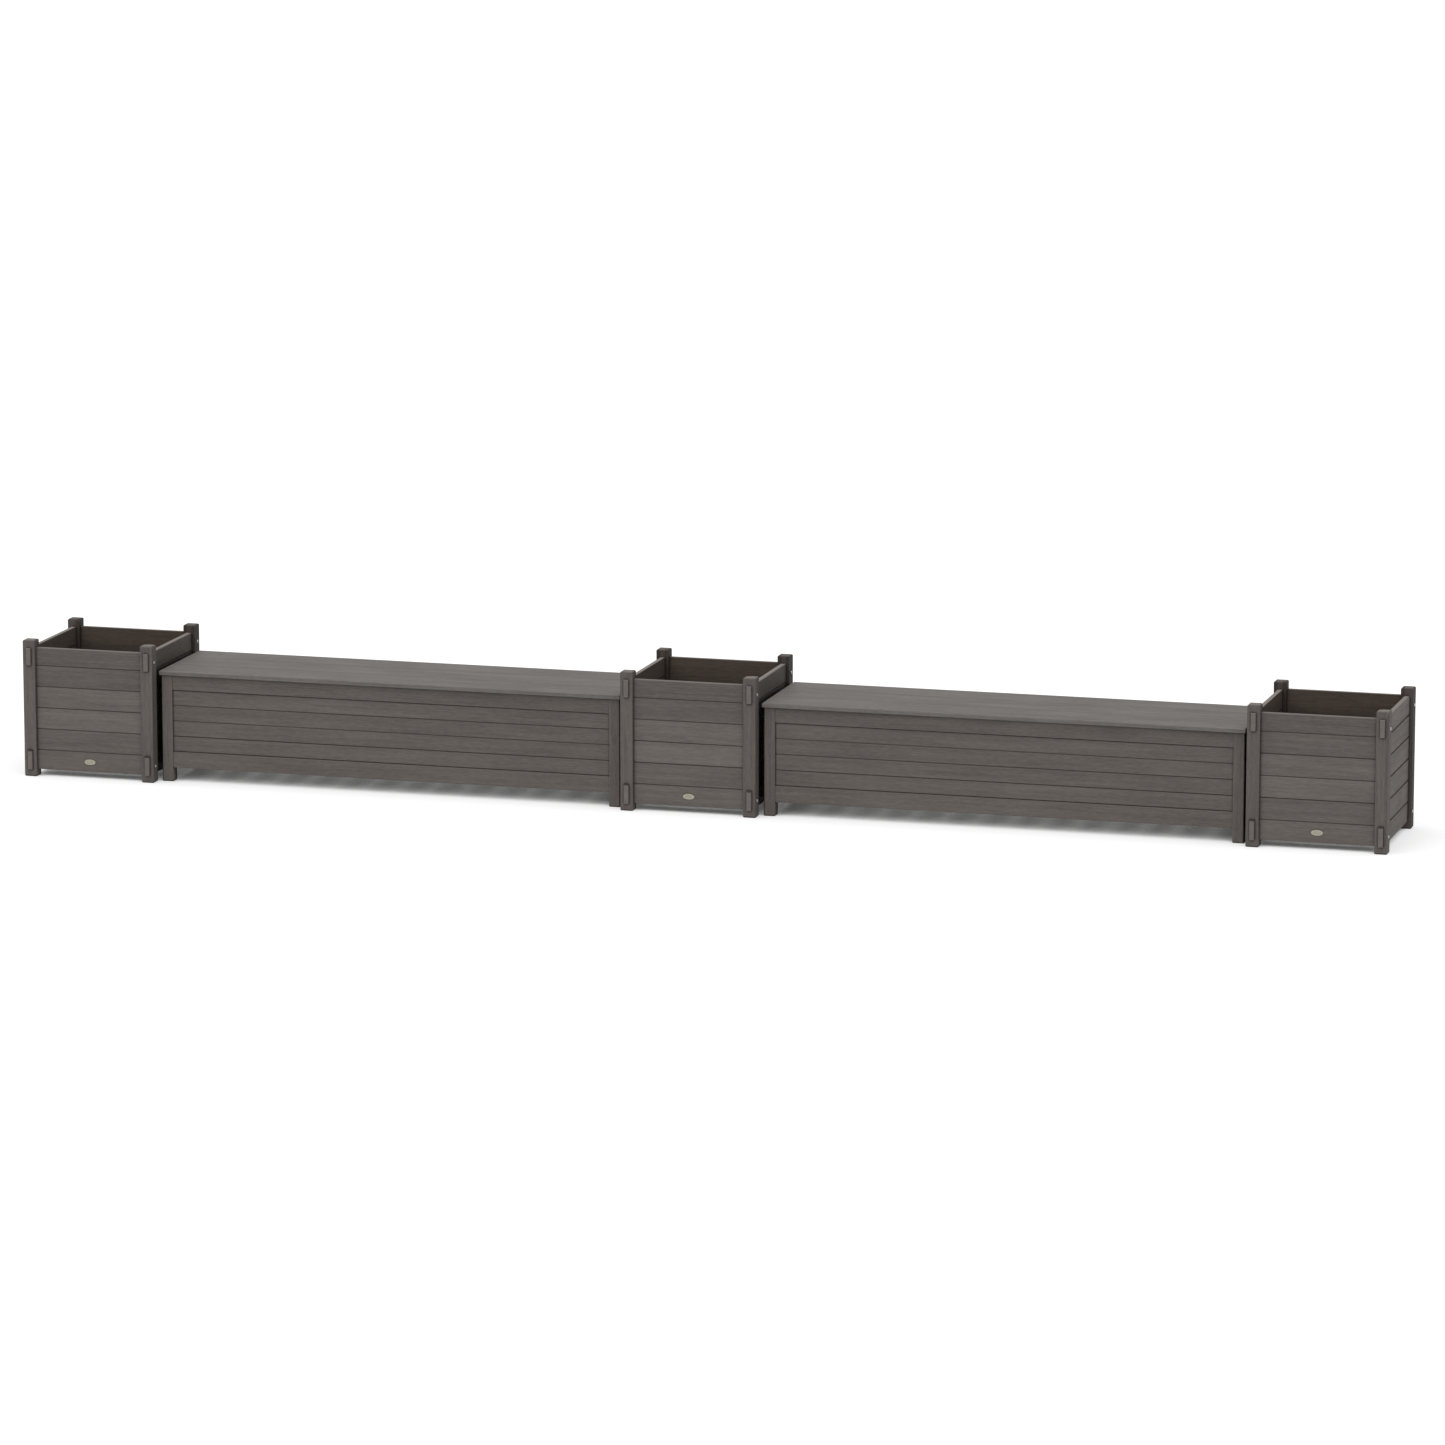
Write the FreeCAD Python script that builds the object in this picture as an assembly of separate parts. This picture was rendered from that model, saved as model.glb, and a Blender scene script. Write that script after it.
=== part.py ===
import FreeCAD, Part
import math
import os
from collections import namedtuple
from FreeCAD import Vector

# Three timber planters in a row with a boxed bench between each pair.
# Millimetres. +X runs along the row, -Y is the front, +Z is up.
# The origin is on the ground, under the centre of the middle planter.

# Row
planter_pitch = 2500.0           # centre of one planter to the centre of the next

# Planter
planter_width = 550.0            # along the row, over the posts
planter_depth = 550.0            # front to back, over the posts
planter_height = 555.0           # ground to the posts' tops
planter_post = 50.0              # square section
planter_post_ease = 3.5          # bevel round the top and the foot
planter_wall_recess = 15.0       # posts' outer faces to the boards' faces
planter_wall_foot = 28.0         # ground to the bottom rail
planter_wall_drop = 31.0         # posts' tops to the top rail
planter_board = 20.0             # thickness of rails and slats
planter_bottom_rail = 80.0
planter_top_rail = 72.0
planter_slat_count = 4
housing_depth = 10.0             # how far a board's end stands in a planter post
tenon_reach = 9.0                # side rails' tenons past the posts' faces
tenon_bevel = 2.5

# Bench carcass
bench_gap = 18.5                 # planter post to bench post
bench_depth = 438.0              # front to back, over the posts
bench_height = 434.0             # ground to the underside of the lid
bench_post = 45.0
bench_post_ease = 2.5
bench_rail_recess = 2.0          # posts' outer faces to the rails' faces
bench_rail_thickness = 22.0
bench_slat_thickness = 17.0      # slats and rails are flush inside
bench_wall_foot = 56.0
bench_bottom_rail = 65.5
bench_top_rail = 62.0
bench_slat_count = 4
bench_housing_depth = 12.0
cross_rail_width = 44.0
cross_rail_height = 44.0
cross_rail_housing = 8.0

# Board edges
board_bevel = 2.6                # half of the V between two boards
lap_height = 7.0                 # how far a slat's lip stands up behind the slat above
joint_clearance = 0.1            # round every lip, tenon and housed end

# Floors
planter_floor_slats = 5
planter_floor_slat_width = 80.0
planter_floor_thickness = 18.0
planter_bearer_width = 25.0
planter_bearer_height = 24.0
bench_floor_slats = 14
bench_floor_slat_width = 118.0
bench_floor_thickness = 15.0
bench_bearer_width = 25.0
bench_bearer_height = 25.0
bench_bearer_rise = 4.0          # bench rail's underside to the bearer's

# Lid
lid_thickness = 18.0
lid_overhang = 15.0              # past the bench posts, front and back
lid_gap = 15.0                   # planter post to the lid's end
lid_board_count = 3
lid_edge_radius = 4.5            # along the top, front and back
lid_foot_bevel = 1.5             # along the underside, front and back
lid_end_bevel = 2.5
lid_seam_bevel = 0.8
batten_count = 4
batten_spacing = 480.0
batten_width = 60.0
batten_height = 22.0
batten_end_gap = 10.0            # batten to the rails in front of it and behind it
batten_end_bevel = 8.0

# Hinges
hinge_count = 2
hinge_spacing = 1200.0
hinge_length = 72.0
hinge_leaf_thickness = 2.0
hinge_leaf_width = 28.0
knuckle_radius = 3.5             # hinge axis to the knuckle's flats
knuckle_sides = 8
hinge_pin_radius = 1.5
pin_clearance = 0.05
knuckle_end_gap = 0.3
knuckle_pocket_gap = 0.7         # knuckle to the pocket in the lid

# Screws through the planter posts, turned into the ends of the front and rear rails
screw_radius = 3.0
screw_length = 85.0
screw_head_radius = 7.75
screw_head_height = 4.5
screw_head_bevel = 3.4
screw_head_sides = 8
screw_shank_sides = 6            # flats of the hidden shanks and of their holes
screw_clearance = 0.1
screw_tip_gap = 2.0              # screw's tip to the end of its hole
screw_rise_low = 38.0            # bottom rail's underside to the lower screw
screw_rise_high = 34.0           # top rail's underside to the upper screw

# Packing blocks between bench and planter
block_offset = 120.0             # from the middle, front and back
block_width = 80.0
block_height = 40.0
block_rise = 6.0                 # bench wall's foot to a lower block
block_drop = 10.0                # underside of the lid to an upper block

# Plate
plate_width = 46.0
plate_height = 22.0
plate_thickness = 2.0            # it sits in the middle of the front bottom rail

# Worked-out places
bay_length = planter_pitch - planter_width
bench_length = bay_length - 2 * bench_gap
lid_length = bay_length - 2 * lid_gap
lid_depth = bench_depth + 2 * lid_overhang
planter_clear_width = planter_width - 2 * planter_post
planter_clear_depth = planter_depth - 2 * planter_post
planter_wall_x = planter_width / 2 - planter_wall_recess
planter_wall_y = planter_depth / 2 - planter_wall_recess
bench_wall_x = bench_length / 2 - bench_rail_recess
bench_wall_y = bench_depth / 2 - bench_rail_recess
bench_inner_y = bench_wall_y - bench_rail_thickness
hinge_axis_y = bench_wall_y + hinge_leaf_thickness + knuckle_radius
hinge_axis_z = bench_height
knuckle_reach = knuckle_radius / math.cos(math.pi / knuckle_sides)
planter_names = ("left", "centre", "right")
bench_names = ("left", "right")
FRONT, RIGHT, REAR, LEFT = 0, 90, 180, 270

Wall = namedtuple("Wall", "foot top bottom_rail top_rail slats rail_thickness slat_thickness")
planter_wall = Wall(planter_wall_foot, planter_height - planter_wall_drop, planter_bottom_rail,
                    planter_top_rail, planter_slat_count, planter_board, planter_board)
bench_wall = Wall(bench_wall_foot, bench_height, bench_bottom_rail, bench_top_rail,
                  bench_slat_count, bench_rail_thickness, bench_slat_thickness)


def block(x0, x1, y0, y1, z0, z1):
    """A box between two opposite corners, given in any order."""
    corner = Vector(min(x0, x1), min(y0, y1), min(z0, z1))
    return Part.makeBox(abs(x1 - x0), abs(y1 - y0), abs(z1 - z0), corner)


def rod(radius, start, direction, length):
    """A round bar, also used to cut holes."""
    return Part.makeCylinder(radius, length, start, direction)


def ring_points(radius, centre, direction, sides):
    """Corners of a closed regular outline across a direction, with upright flats at the radius."""
    across = Vector(0, 1, 0) if abs(direction.x) > 0.5 else Vector(1, 0, 0)
    up = Vector(0, 0, 1)
    corner = radius / math.cos(math.pi / sides)
    points = []
    for n in range(sides + 1):
        angle = 2 * math.pi * (n % sides + 0.5) / sides
        points.append(centre + across * (corner * math.cos(angle)) + up * (corner * math.sin(angle)))
    return points


def flat_rod(radius, start, direction, length, sides):
    """A level bar with flat sides at the radius, also used to cut holes."""
    face = Part.Face(Part.makePolygon(ring_points(radius, start, direction, sides)))
    return face.extrude(direction * length)


def edges_at(solid, axis, place):
    """The edges that lie in the plane where one coordinate has the given value."""
    found = []
    for edge in solid.Edges:
        if all(abs(vertex.Point[axis] - place) < 1e-6 for vertex in edge.Vertexes):
            found.append(edge)
    return found


def level_edges(solid, axis, place, level):
    """The edges at one height whose X or Y has the given value."""
    return [edge for edge in edges_at(solid, axis, place)
            if all(abs(vertex.Z - level) < 1e-6 for vertex in edge.Vertexes)]


def prism_along_x(outline, length):
    """A solid of constant Y-Z section, centred on X = 0."""
    points = [Vector(-length / 2, y, z) for y, z in outline]
    face = Part.Face(Part.makePolygon(points + points[:1]))
    return face.extrude(Vector(length, 0, 0))


def spaced(count, spacing):
    """Places of evenly spaced copies about zero."""
    return [(n - (count - 1) / 2) * spacing for n in range(count)]


def stand(solid, side, distance, centre_x):
    """A copy of a piece of the front wall, turned to its side and stood at its distance."""
    angle = math.radians(side)
    moved = solid.copy()
    moved.rotate(Vector(0, 0, 0), Vector(0, 0, 1), side)
    moved.translate(Vector(centre_x + distance * math.sin(angle), -distance * math.cos(angle), 0))
    return moved


def moved_x(solids, distance):
    """Copies of solids, moved along the row."""
    copies = []
    for solid in solids:
        copy = solid.copy()
        copy.translate(Vector(distance, 0, 0))
        copies.append(copy)
    return copies


# Boards, each along X with its wall's outer face at Y = 0

def board(wall, face, low, high, length, lipped=False, rebated=False):
    """A board with bevelled outer edges, a lip above and a rebate below where they are wanted."""
    back = wall.rail_thickness
    middle = back - wall.slat_thickness / 2
    outline = [(face + board_bevel, low), (face, low + board_bevel), (face, high - board_bevel),
               (face + board_bevel, high)]
    if lipped:
        outline += [(middle, high), (middle, high + lap_height), (back, high + lap_height)]
    else:
        outline.append((back, high))
    if rebated:
        roof = low + lap_height + joint_clearance
        outline += [(back, roof), (middle - joint_clearance, roof), (middle - joint_clearance, low)]
    else:
        outline.append((back, low))
    return prism_along_x(outline, length)


def wall_slats(wall, clear_length, housing):
    """The slats of one wall from the bottom up, lapped behind each other."""
    face = wall.rail_thickness - wall.slat_thickness
    foot = wall.foot + wall.bottom_rail
    pitch = (wall.top - wall.top_rail - foot) / wall.slats
    length = clear_length + 2 * housing
    return [board(wall, face, foot + n * pitch, foot + (n + 1) * pitch, length, n < wall.slats - 1, n > 0)
            for n in range(wall.slats)]


def wall_rails(wall, clear_length, housing):
    """Bottom rail and top rail, with ends that stand in the posts' housings."""
    length = clear_length + 2 * housing
    return [board(wall, 0, wall.foot, wall.foot + wall.bottom_rail, length),
            board(wall, 0, wall.top - wall.top_rail, wall.top, length)]


# Planter

def screw_levels():
    return (planter_wall.foot + screw_rise_low, planter_wall.top - planter_wall.top_rail + screw_rise_high)


def rail_zones():
    """Underside and top of the bottom rails and of the top rails."""
    wall = planter_wall
    return ((wall.foot, wall.foot + wall.bottom_rail), (wall.top - wall.top_rail, wall.top))


def screw_hole(start, direction, length):
    return flat_rod(screw_radius + screw_clearance, start, direction, length, screw_shank_sides)


def planter_post_solid(side_x, side_y):
    """A corner post with housings for the boards, through mortises and screw holes."""
    outer_x, inner_x = side_x * planter_width / 2, side_x * (planter_width / 2 - planter_post)
    outer_y, inner_y = side_y * planter_depth / 2, side_y * (planter_depth / 2 - planter_post)
    post = block(inner_x, outer_x, inner_y, outer_y, 0, planter_height)
    post = post.makeChamfer(planter_post_ease, edges_at(post, 2, 0) + edges_at(post, 2, planter_height))
    depth = housing_depth + joint_clearance
    board_out, board_in = joint_clearance, -planter_board - joint_clearance
    low, high = planter_wall.foot - joint_clearance, planter_wall.top + joint_clearance
    cuts = [block(inner_x, inner_x + side_x * depth, side_y * (planter_wall_y + board_out),
                  side_y * (planter_wall_y + board_in), low, high),
            block(side_x * (planter_wall_x + board_out), side_x * (planter_wall_x + board_in),
                  inner_y, inner_y + side_y * depth, low, high)]
    for foot, top in rail_zones():
        cuts.append(block(side_x * (planter_wall_x + board_out), side_x * (planter_wall_x + board_in),
                          inner_y, outer_y, foot - joint_clearance, top + joint_clearance))
    for level in screw_levels():
        start = Vector(outer_x, side_y * (planter_depth - planter_post) / 2, level)
        cuts.append(screw_hole(start, Vector(-side_x, 0, 0), planter_post))
    return post.cut(cuts)


def screwed_rail(rail, level):
    """A front or rear rail with a screw's hole in each end."""
    end = planter_clear_width / 2 + housing_depth
    screw_y = planter_post / 2 - planter_wall_recess
    hole_depth = screw_length - (planter_post - housing_depth) + screw_tip_gap
    cuts = [screw_hole(Vector(side * end, screw_y, level), Vector(-side, 0, 0), hole_depth) for side in (-1, 1)]
    return rail.cut(cuts)


def through_rail(low, high, level):
    """A side rail whose tenons pass through both posts and are crossed by the screws."""
    rail = board(planter_wall, 0, low, high, planter_clear_depth)
    shoulder = planter_clear_depth / 2
    tip = shoulder + planter_post + tenon_reach
    cuts = []
    for side in (-1, 1):
        tenon = block(side * shoulder, side * tip, 0, planter_board, low, high)
        rail = rail.fuse(tenon.makeChamfer(tenon_bevel, edges_at(tenon, 0, side * tip)))
        start = Vector(side * (shoulder + planter_post / 2), 0, level)
        cuts.append(screw_hole(start, Vector(0, 1, 0), planter_board))
    return rail.cut(cuts).removeSplitter()


def planter_side_rails():
    return [through_rail(low, high, level) for (low, high), level in zip(rail_zones(), screw_levels())]


def planter_screw():
    """A screw along +X with a bevelled round head before X = 0."""
    along = Vector(1, 0, 0)
    head = flat_rod(screw_head_radius, Vector(-screw_head_height, 0, 0), along, screw_head_height,
                    screw_head_sides)
    head = head.makeChamfer(screw_head_bevel, edges_at(head, 0, -screw_head_height))
    shank = flat_rod(screw_radius, Vector(0, 0, 0), along, screw_length, screw_shank_sides)
    return head.fuse(shank)


def corner_screws(centre_x):
    """The screws of one planter, four corners at two levels."""
    screws = []
    for side_x in (-1, 1):
        for side_y in (-1, 1):
            for level in screw_levels():
                screw = planter_screw()
                if side_x > 0:
                    screw.rotate(Vector(0, 0, 0), Vector(0, 0, 1), 180)
                screw.translate(Vector(centre_x + side_x * planter_width / 2,
                                       side_y * (planter_depth - planter_post) / 2, level))
                screws.append(screw)
    return screws


def planter_floor():
    """Bearers inside the bottom side rails, and slats across them with gaps for water."""
    inner_x = planter_wall_x - planter_board
    top = planter_wall.foot + planter_bearer_height
    bearers = [block(side * inner_x, side * (inner_x - planter_bearer_width), -planter_clear_depth / 2,
                     planter_clear_depth / 2, planter_wall.foot, top) for side in (-1, 1)]
    spacing = (planter_clear_depth - planter_floor_slat_width) / (planter_floor_slats - 1)
    half_length = inner_x - joint_clearance
    slats = [block(-half_length, half_length, y - planter_floor_slat_width / 2,
                   y + planter_floor_slat_width / 2, top, top + planter_floor_thickness)
             for y in spaced(planter_floor_slats, spacing)]
    return bearers, slats


def oval_plate():
    """A blank oval plate with its back on Y = 0."""
    ellipse = Part.Ellipse(Vector(0, 0, 0), plate_width / 2, plate_height / 2)
    plate = Part.Face(Part.Wire([ellipse.toShape()])).extrude(Vector(0, 0, plate_thickness))
    plate.rotate(Vector(0, 0, 0), Vector(1, 0, 0), 90)
    return plate


def planter_nodes(nodes, name, centre_x):
    """All nodes of one planter."""
    post_list = [planter_post_solid(side_x, side_y) for side_x in (-1, 1) for side_y in (-1, 1)]
    nodes[f"{name}_planter_posts"] = moved_x(post_list, centre_x)
    rails = wall_rails(planter_wall, planter_clear_width, housing_depth)
    rails = [screwed_rail(rail, level) for rail, level in zip(rails, screw_levels())]
    slats = wall_slats(planter_wall, planter_clear_width, housing_depth)
    for side, label in ((FRONT, "front"), (REAR, "rear")):
        nodes[f"{name}_planter_{label}_rails"] = [stand(r, side, planter_wall_y, centre_x) for r in rails]
        nodes[f"{name}_planter_{label}_slats"] = [stand(s, side, planter_wall_y, centre_x) for s in slats]
    side_rails, side_slats = planter_side_rails(), wall_slats(planter_wall, planter_clear_depth, housing_depth)
    placed_rails = [stand(r, side, planter_wall_x, centre_x) for side in (LEFT, RIGHT) for r in side_rails]
    placed_slats = [stand(s, side, planter_wall_x, centre_x) for side in (LEFT, RIGHT) for s in side_slats]
    nodes[f"{name}_planter_side_rails"] = placed_rails
    nodes[f"{name}_planter_side_slats"] = placed_slats
    bearers, floor = planter_floor()
    nodes[f"{name}_planter_floor_slats"] = moved_x(floor, centre_x)
    nodes.setdefault("planter_floor_bearers", []).extend(moved_x(bearers, centre_x))
    nodes.setdefault("planter_screws", []).extend(corner_screws(centre_x))
    plate = oval_plate()
    plate.translate(Vector(centre_x, -planter_wall_y, planter_wall.foot + planter_wall.bottom_rail / 2))
    nodes.setdefault("oval_plates", []).append(plate)


# Bench carcass

def bench_post_solid(side_x, side_y):
    """A bench post with stopped housings for rails and slats on its two inner faces."""
    outer_x, inner_x = side_x * bench_length / 2, side_x * (bench_length / 2 - bench_post)
    outer_y, inner_y = side_y * bench_depth / 2, side_y * (bench_depth / 2 - bench_post)
    post = block(inner_x, outer_x, inner_y, outer_y, 0, bench_height)
    post = post.makeChamfer(bench_post_ease, edges_at(post, 2, 0))
    depth = bench_housing_depth + joint_clearance
    wall = bench_wall
    slats_low, slats_high = wall.foot + wall.bottom_rail, wall.top - wall.top_rail
    zones = ((wall.foot - joint_clearance, slats_low + joint_clearance, 0),
             (slats_low, slats_high, wall.rail_thickness - wall.slat_thickness),
             (slats_high - joint_clearance, wall.top, 0))
    cuts = []
    for low, high, face in zones:
        out_y, in_y = bench_wall_y - face + joint_clearance, bench_inner_y - joint_clearance
        cuts.append(block(inner_x, inner_x + side_x * depth, side_y * out_y, side_y * in_y, low, high))
        out_x = bench_wall_x - face + joint_clearance
        in_x = bench_wall_x - wall.rail_thickness - joint_clearance
        cuts.append(block(side_x * out_x, side_x * in_x, inner_y, inner_y + side_y * depth, low, high))
    return post.cut(cuts)


def cross_rail_block(margin):
    """The rail across the middle, housed in both top rails; a margin gives its housings."""
    half = cross_rail_width / 2 + margin
    reach = bench_inner_y + cross_rail_housing + margin
    return block(-half, half, -reach, reach, bench_height - cross_rail_height - margin, bench_height)


def bench_floor():
    """Bearers along the bottom rails and slats across them."""
    low = bench_wall.foot + bench_bearer_rise
    top = low + bench_bearer_height
    half_length = bench_length / 2 - bench_post
    bearers = [block(-half_length, half_length, side * bench_inner_y,
                     side * (bench_inner_y - bench_bearer_width), low, top) for side in (-1, 1)]
    spacing = (2 * half_length - bench_floor_slat_width) / (bench_floor_slats - 1)
    half_depth = bench_inner_y - joint_clearance
    slats = [block(x - bench_floor_slat_width / 2, x + bench_floor_slat_width / 2, -half_depth, half_depth,
                   top, top + bench_floor_thickness) for x in spaced(bench_floor_slats, spacing)]
    return bearers, slats


def bench_nodes(nodes, name, centre_x):
    """All nodes of one bench carcass."""
    post_list = [bench_post_solid(side_x, side_y) for side_x in (-1, 1) for side_y in (-1, 1)]
    nodes[f"{name}_bench_posts"] = moved_x(post_list, centre_x)
    clear_length = bench_length - 2 * bench_post
    clear_depth = bench_depth - 2 * bench_post
    rails = wall_rails(bench_wall, clear_length, bench_housing_depth)
    slats = wall_slats(bench_wall, clear_length, bench_housing_depth)
    housing = cross_rail_block(joint_clearance)
    for side, label in ((FRONT, "front"), (REAR, "rear")):
        placed = [stand(rail, side, bench_wall_y, 0).cut(housing) for rail in rails]
        nodes[f"{name}_bench_{label}_rails"] = moved_x(placed, centre_x)
        nodes[f"{name}_bench_{label}_slats"] = [stand(s, side, bench_wall_y, centre_x) for s in slats]
    end_rails = wall_rails(bench_wall, clear_depth, bench_housing_depth)
    end_slats = wall_slats(bench_wall, clear_depth, bench_housing_depth)
    placed_rails = [stand(r, side, bench_wall_x, centre_x) for side in (LEFT, RIGHT) for r in end_rails]
    placed_slats = [stand(s, side, bench_wall_x, centre_x) for side in (LEFT, RIGHT) for s in end_slats]
    nodes[f"{name}_bench_end_rails"] = placed_rails
    nodes[f"{name}_bench_end_slats"] = placed_slats
    nodes[f"{name}_bench_cross_rail"] = moved_x([cross_rail_block(0)], centre_x)
    bearers, floor = bench_floor()
    nodes[f"{name}_bench_floor_slats"] = moved_x(floor, centre_x)
    nodes.setdefault("bench_floor_bearers", []).extend(moved_x(bearers, centre_x))


# Lid

def hinge_places():
    return spaced(hinge_count, hinge_spacing)


def lid_board(front, rear):
    """One board of the lid; the lid's outer edges are rounded, the seams and ends bevelled."""
    low, high, half = bench_height, bench_height + lid_thickness, lid_length / 2
    solid = block(-half, half, front, rear, low, high)
    ends = [edge for x in (-half, half) for level in (low, high) for edge in level_edges(solid, 0, x, level)]
    solid = solid.makeChamfer(lid_end_bevel, ends)
    for place in (front, rear):
        if abs(place) >= lid_depth / 2:
            solid = solid.makeFillet(lid_edge_radius, level_edges(solid, 1, place, high))
            solid = solid.makeChamfer(lid_foot_bevel, level_edges(solid, 1, place, low))
        else:
            solid = solid.makeChamfer(lid_seam_bevel, level_edges(solid, 1, place, high))
    return solid


def lid_boards():
    """Lengthwise boards, with pockets for the hinges in the rear one."""
    width = lid_depth / lid_board_count
    fronts = [n * width - lid_depth / 2 for n in range(lid_board_count)]
    boards = [lid_board(front, front + width) for front in fronts]
    half = hinge_length / 2 + knuckle_end_gap
    pocket = knuckle_reach + knuckle_pocket_gap
    leaf_edge = hinge_axis_y - knuckle_radius - hinge_leaf_width - joint_clearance
    cuts = []
    for x in hinge_places():
        cuts.append(block(x - half, x + half, hinge_axis_y - pocket, hinge_axis_y + pocket,
                          bench_height, bench_height + pocket))
        cuts.append(block(x - half, x + half, leaf_edge, hinge_axis_y,
                          bench_height, bench_height + hinge_leaf_thickness))
    return boards[:-1] + [boards[-1].cut(cuts)]


def lid_battens():
    """Cross battens under the lid with bevelled ends, clear of the rails as the lid swings."""
    reach = bench_inner_y - batten_end_gap
    battens = []
    for x in spaced(batten_count, batten_spacing):
        batten = block(x - batten_width / 2, x + batten_width / 2, -reach, reach,
                       bench_height - batten_height, bench_height)
        ends = [edge for edge in edges_at(batten, 2, bench_height - batten_height)
                if edge.BoundBox.YLength < 1e-6]
        battens.append(batten.makeChamfer(batten_end_bevel, ends))
    return battens


# Hinges

def knuckle(start, end):
    """A barrel with flats on the hinge's axis, bored later for the pin."""
    origin = Vector(start, hinge_axis_y, hinge_axis_z)
    return flat_rod(knuckle_radius, origin, Vector(1, 0, 0), end - start, knuckle_sides)


def pin_bore(x):
    origin = Vector(x - hinge_length / 2, hinge_axis_y, hinge_axis_z)
    return rod(hinge_pin_radius + pin_clearance, origin, Vector(1, 0, 0), hinge_length)


def frame_leaf(x):
    """The leaf on the rear rail's outer face, with the knuckle at its left end."""
    half = hinge_length / 2
    end = x - knuckle_end_gap / 2
    face = bench_wall_y
    lug_low = hinge_axis_z - knuckle_radius
    leaf = block(x - half, x + half, face, face + hinge_leaf_thickness, lug_low - hinge_leaf_width, lug_low)
    lug = block(x - half, end, face, hinge_axis_y, lug_low, lug_low + hinge_leaf_thickness)
    leaf = leaf.fuse([lug, knuckle(x - half, end)])
    return leaf.cut(pin_bore(x)).removeSplitter()


def lid_leaf(x):
    """The leaf let into the lid's underside, with the knuckle at its right end."""
    half = hinge_length / 2
    start = x + knuckle_end_gap / 2
    near = hinge_axis_y - knuckle_reach - knuckle_end_gap
    top = hinge_axis_z + hinge_leaf_thickness
    leaf = block(x - half, x + half, hinge_axis_y - knuckle_radius - hinge_leaf_width, near, hinge_axis_z, top)
    lug = block(start, x + half, near, hinge_axis_y, hinge_axis_z, top)
    leaf = leaf.fuse([lug, knuckle(start, x + half)])
    return leaf.cut(pin_bore(x)).removeSplitter()


def hinge_pin(x):
    origin = Vector(x - hinge_length / 2, hinge_axis_y, hinge_axis_z)
    return rod(hinge_pin_radius, origin, Vector(1, 0, 0), hinge_length)


def lid_nodes(nodes, name, centre_x):
    """The lid of one bench with its battens and hinges."""
    places = hinge_places()
    nodes[f"{name}_lid_boards"] = moved_x(lid_boards(), centre_x)
    nodes[f"{name}_lid_battens"] = moved_x(lid_battens(), centre_x)
    nodes[f"{name}_lid_hinge_leaves"] = moved_x([lid_leaf(x) for x in places], centre_x)
    nodes[f"{name}_frame_hinge_leaves"] = moved_x([frame_leaf(x) for x in places], centre_x)
    nodes.setdefault("hinge_pins", []).extend(moved_x([hinge_pin(x) for x in places], centre_x))


# Packing blocks

def packing_blocks(gap_centre):
    """Four blocks that fill the hidden gap from a planter's side wall to a bench's end rails."""
    gap = bench_gap + planter_wall_recess + bench_rail_recess
    low = bench_wall.foot + block_rise
    high = bench_height - block_drop - block_height
    return [block(gap_centre - gap / 2, gap_centre + gap / 2, y - block_width / 2, y + block_width / 2,
                  foot, foot + block_height)
            for y in (-block_offset, block_offset) for foot in (low, high)]


def gap_centres(planter_places):
    """Middle of the gap from board to board, on each planter's side that faces a bench."""
    reach = (planter_wall_x + planter_width / 2 + bench_gap + bench_rail_recess) / 2
    centres = []
    for left, right in zip(planter_places[:-1], planter_places[1:]):
        centres += [left + reach, right - reach]
    return centres


def build():
    """All nodes by name, each a list of separate solids."""
    nodes = {}
    planter_places = spaced(len(planter_names), planter_pitch)
    for name, place in zip(planter_names, planter_places):
        planter_nodes(nodes, name, place)
    for name, place in zip(bench_names, spaced(len(bench_names), planter_pitch)):
        bench_nodes(nodes, name, place)
        lid_nodes(nodes, name, place)
    nodes["packing_blocks"] = [solid for centre in gap_centres(planter_places) for solid in packing_blocks(centre)]
    return nodes


def export(nodes):
    os.makedirs("parts", exist_ok=True)
    for name, solids in nodes.items():
        Part.makeCompound(solids).exportStep(f"parts/{name}.step")


export(build())
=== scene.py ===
import math
from collections import Counter

import bmesh
import bpy
from bpy.props import FloatProperty, FloatVectorProperty, PointerProperty
from mathutils import Matrix, Vector


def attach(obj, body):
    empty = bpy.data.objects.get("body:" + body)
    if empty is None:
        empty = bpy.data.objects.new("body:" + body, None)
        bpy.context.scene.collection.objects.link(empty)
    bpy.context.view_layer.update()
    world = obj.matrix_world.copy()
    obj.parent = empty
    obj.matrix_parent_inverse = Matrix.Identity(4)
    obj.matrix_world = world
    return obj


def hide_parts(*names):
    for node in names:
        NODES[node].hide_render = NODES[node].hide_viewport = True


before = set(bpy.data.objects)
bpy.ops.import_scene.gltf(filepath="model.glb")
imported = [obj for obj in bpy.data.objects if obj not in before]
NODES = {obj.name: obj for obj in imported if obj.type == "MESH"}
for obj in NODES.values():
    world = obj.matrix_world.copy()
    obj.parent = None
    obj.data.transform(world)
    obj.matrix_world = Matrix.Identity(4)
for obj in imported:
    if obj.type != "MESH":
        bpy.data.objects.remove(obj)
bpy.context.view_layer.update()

bl_info = {
    "name": "Planter bench",
    "version": (1, 0, 0),
    "blender": (4, 5, 0),
    "location": "View3D > Sidebar > Planter bench",
    "description": "Finishes the timber, the metalwork and the studio of a bench with planters",
    "category": "Object",
}

PLANTERS = ("left", "centre", "right")
BENCHES = ("left", "right")

# Places on the row, in metres

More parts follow.
